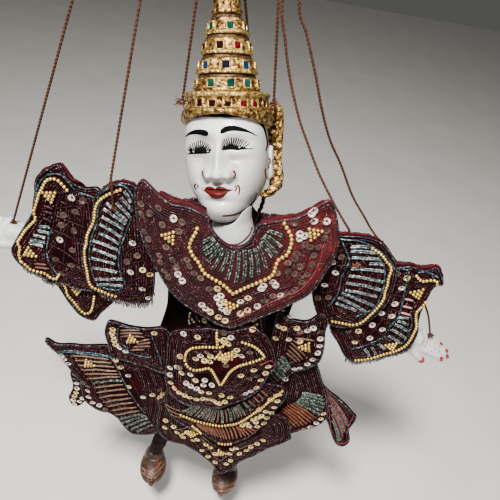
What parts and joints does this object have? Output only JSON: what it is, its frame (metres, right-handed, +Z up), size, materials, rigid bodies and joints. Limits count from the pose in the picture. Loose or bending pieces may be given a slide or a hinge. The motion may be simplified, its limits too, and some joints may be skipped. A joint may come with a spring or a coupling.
{
  "type": "string marionette",
  "caption": "String puppet with a tiered gilded crown, white face, winged sequinned collar, layered panels and jointed limbs, hung from a control bar.",
  "frame": {"origin": "centre of the flat top of the control's grip", "axes": "+Z up, the puppet faces -Y, +X is to its left"},
  "size_m": [0.392, 0.1091, 0.691],
  "materials": {
    "bar_wood": "oiled dark hardwood",
    "body_wood": "bare carved wood",
    "shoe_wood": "painted carved wood with gold lines",
    "lacquer_white": "white lacquer on wood",
    "gilding": "gold leaf on carved wood",
    "velvet": "maroon velvet panels with sequins and beads",
    "trouser": "dark cloth over carved legs",
    "string": "twisted reddish-brown cord"
  },
  "bodies": {
    "control": {"control_bar": "bar_wood", "control_grip": "bar_wood"},
    "figure": {"chest_block": "body_wood", "pelvis_block": "body_wood", "bodice": "velvet", "collar": "velvet", "collar_back": "velvet", "wing_upper_r": "velvet", "wing_upper_l": "velvet", "wing_long_r": "velvet", "wing_long_l": "velvet", "tail_l": "velvet", "tail_r": "velvet", "back_panel": "velvet", "string_head_r": "string", "string_head_l": "string", "string_back": "string"},
    "apron": {"apron_star": "velvet", "apron_fan": "velvet", "apron_point": "velvet"},
    "neck": {"neck": "lacquer_white"},
    "head": {"head": "lacquer_white", "crown_band": "gilding", "crown_tier_1": "gilding", "crown_tier_2": "gilding", "crown_tier_3": "gilding", "crown_tier_4": "gilding", "crown_finial": "gilding", "ear_flange_r": "gilding", "ear_flange_l": "gilding"},
    "upper_arm_r": {"upper_arm_r": "body_wood", "elbow_pin_r": "bar_wood", "sleeve_front_r": "velvet", "sleeve_back_r": "velvet"},
    "forearm_r": {"forearm_r": "lacquer_white", "cuff_front_r": "velvet", "cuff_back_r": "velvet", "flap_r": "velvet"},
    "hand_r": {"hand_r": "lacquer_white"},
    "upper_arm_l": {"upper_arm_l": "body_wood", "elbow_pin_l": "bar_wood", "sleeve_front_l": "velvet", "sleeve_back_l": "velvet"},
    "forearm_l": {"forearm_l": "lacquer_white", "cuff_front_l": "velvet", "cuff_back_l": "velvet"},
    "hand_l": {"hand_l": "lacquer_white"},
    "thigh_r": {"thigh_r": "trouser", "knee_pin_r": "bar_wood"},
    "shin_r": {"shin_r": "trouser"},
    "shoe_r": {"shoe_r": "shoe_wood"},
    "thigh_l": {"thigh_l": "trouser", "knee_pin_l": "bar_wood"},
    "shin_l": {"shin_l": "trouser"},
    "shoe_l": {"shoe_l": "shoe_wood"},
    "hand_string_r": {"string_hand_r": "string"},
    "elbow_string_r": {"string_elbow_r": "string"},
    "hand_string_l": {"string_hand_l": "string"},
    "elbow_string_l": {"string_elbow_l": "string"}
  },
  "joints": [
    {"name": "figure_swing", "type": "hinge", "parent": "control", "child": "figure", "pos_m": [0, 0, -0.1041], "axis": [1, 0, 0], "range_deg": [-20, 20]},
    {"name": "apron_lift", "type": "hinge", "parent": "figure", "child": "apron", "pos_m": [0.025, -0.045, -0.3961], "axis": [-1, 0, 0], "range_deg": [0, 25]},
    {"name": "neck_turn", "type": "hinge", "parent": "figure", "child": "neck", "pos_m": [0.019, -0.01, -0.3461], "axis": [0, 0, 1], "range_deg": [-20, 20], "deforming": ["string_head_r", "string_head_l", "string_back"]},
    {"name": "head_nod", "type": "hinge", "parent": "neck", "child": "head", "pos_m": [0.012, -0.006, -0.3221], "axis": [1, 0, 0], "range_deg": [-6, 8], "deforming": ["string_head_r", "string_head_l", "string_back"]},
    {"name": "shoulder_r", "type": "hinge", "parent": "figure", "child": "upper_arm_r", "pos_m": [-0.021, -0.002, -0.3461], "axis": [0, 1, 0], "range_deg": [0, 30], "deforming": ["string_hand_r", "string_elbow_r"]},
    {"name": "elbow_r", "type": "hinge", "parent": "upper_arm_r", "child": "forearm_r", "pos_m": [-0.075, -0.002, -0.3761], "axis": [0, 1, 0], "range_deg": [0, 24], "deforming": ["string_hand_r", "string_elbow_r"]},
    {"name": "wrist_r", "type": "hinge", "parent": "forearm_r", "child": "hand_r", "pos_m": [-0.13, -0.002, -0.3921], "axis": [0, 1, 0], "range_deg": [0, 15], "deforming": ["string_hand_r"]},
    {"name": "hand_string_r_sway", "type": "hinge", "parent": "figure", "child": "hand_string_r", "pos_m": [-0.049, 0, -0.1041], "axis": [0, 1, 0], "range_deg": [-1, 5], "deforming": ["string_hand_r"]},
    {"name": "elbow_string_r_sway", "type": "hinge", "parent": "figure", "child": "elbow_string_r", "pos_m": [-0.033, 0, -0.1041], "axis": [0, 1, 0], "range_deg": [-3, 1], "deforming": ["string_elbow_r"]},
    {"name": "shoulder_l", "type": "hinge", "parent": "figure", "child": "upper_arm_l", "pos_m": [0.071, -0.002, -0.3461], "axis": [0, -1, 0], "range_deg": [0, 30], "deforming": ["string_hand_l", "string_elbow_l"]},
    {"name": "elbow_l", "type": "hinge", "parent": "upper_arm_l", "child": "forearm_l", "pos_m": [0.123, -0.002, -0.3821], "axis": [0, -1, 0], "range_deg": [0, 24], "deforming": ["string_hand_l", "string_elbow_l"]},
    {"name": "wrist_l", "type": "hinge", "parent": "forearm_l", "child": "hand_l", "pos_m": [0.165, -0.002, -0.4251], "axis": [0, -1, 0], "range_deg": [0, 15], "deforming": ["string_hand_l"]},
    {"name": "hand_string_l_sway", "type": "hinge", "parent": "figure", "child": "hand_string_l", "pos_m": [0.043, 0, -0.1041], "axis": [0, -1, 0], "range_deg": [-1, 13.5], "deforming": ["string_hand_l"]},
    {"name": "elbow_string_l_sway", "type": "hinge", "parent": "figure", "child": "elbow_string_l", "pos_m": [0.029, 0, -0.1041], "axis": [0, -1, 0], "range_deg": [-3, 1], "deforming": ["string_elbow_l"]},
    {"name": "hip_r", "type": "hinge", "parent": "figure", "child": "thigh_r", "pos_m": [0.008, 0, -0.4981], "axis": [-1, 0, 0], "range_deg": [-10, 9]},
    {"name": "knee_r", "type": "hinge", "parent": "thigh_r", "child": "shin_r", "pos_m": [-0.0115, 0, -0.5841], "axis": [0.9752, 0, -0.2211], "range_deg": [0, 45]},
    {"name": "ankle_r", "type": "hinge", "parent": "shin_r", "child": "shoe_r", "pos_m": [-0.031, 0, -0.6731], "axis": [-1, 0, 0], "range_deg": [-10, 10]},
    {"name": "hip_l", "type": "hinge", "parent": "figure", "child": "thigh_l", "pos_m": [0.042, 0, -0.4981], "axis": [-1, 0, 0], "range_deg": [-10, 9]},
    {"name": "knee_l", "type": "hinge", "parent": "thigh_l", "child": "shin_l", "pos_m": [0.047, 0, -0.5841], "axis": [0.9983, 0, 0.058], "range_deg": [0, 45]},
    {"name": "ankle_l", "type": "hinge", "parent": "shin_l", "child": "shoe_l", "pos_m": [0.052, 0, -0.6731], "axis": [-1, 0, 0], "range_deg": [-10, 10]}
  ],
  "couplings": [
    {"joint": "elbow_r", "follows": "shoulder_r", "ratio": 0.8},
    {"joint": "hand_string_r_sway", "follows": "shoulder_r", "ratio": 0.14},
    {"joint": "elbow_string_r_sway", "follows": "shoulder_r", "ratio": -0.08},
    {"joint": "elbow_l", "follows": "shoulder_l", "ratio": 0.8},
    {"joint": "hand_string_l_sway", "follows": "shoulder_l", "ratio": 0.432},
    {"joint": "elbow_string_l_sway", "follows": "shoulder_l", "ratio": -0.069}
  ]
}
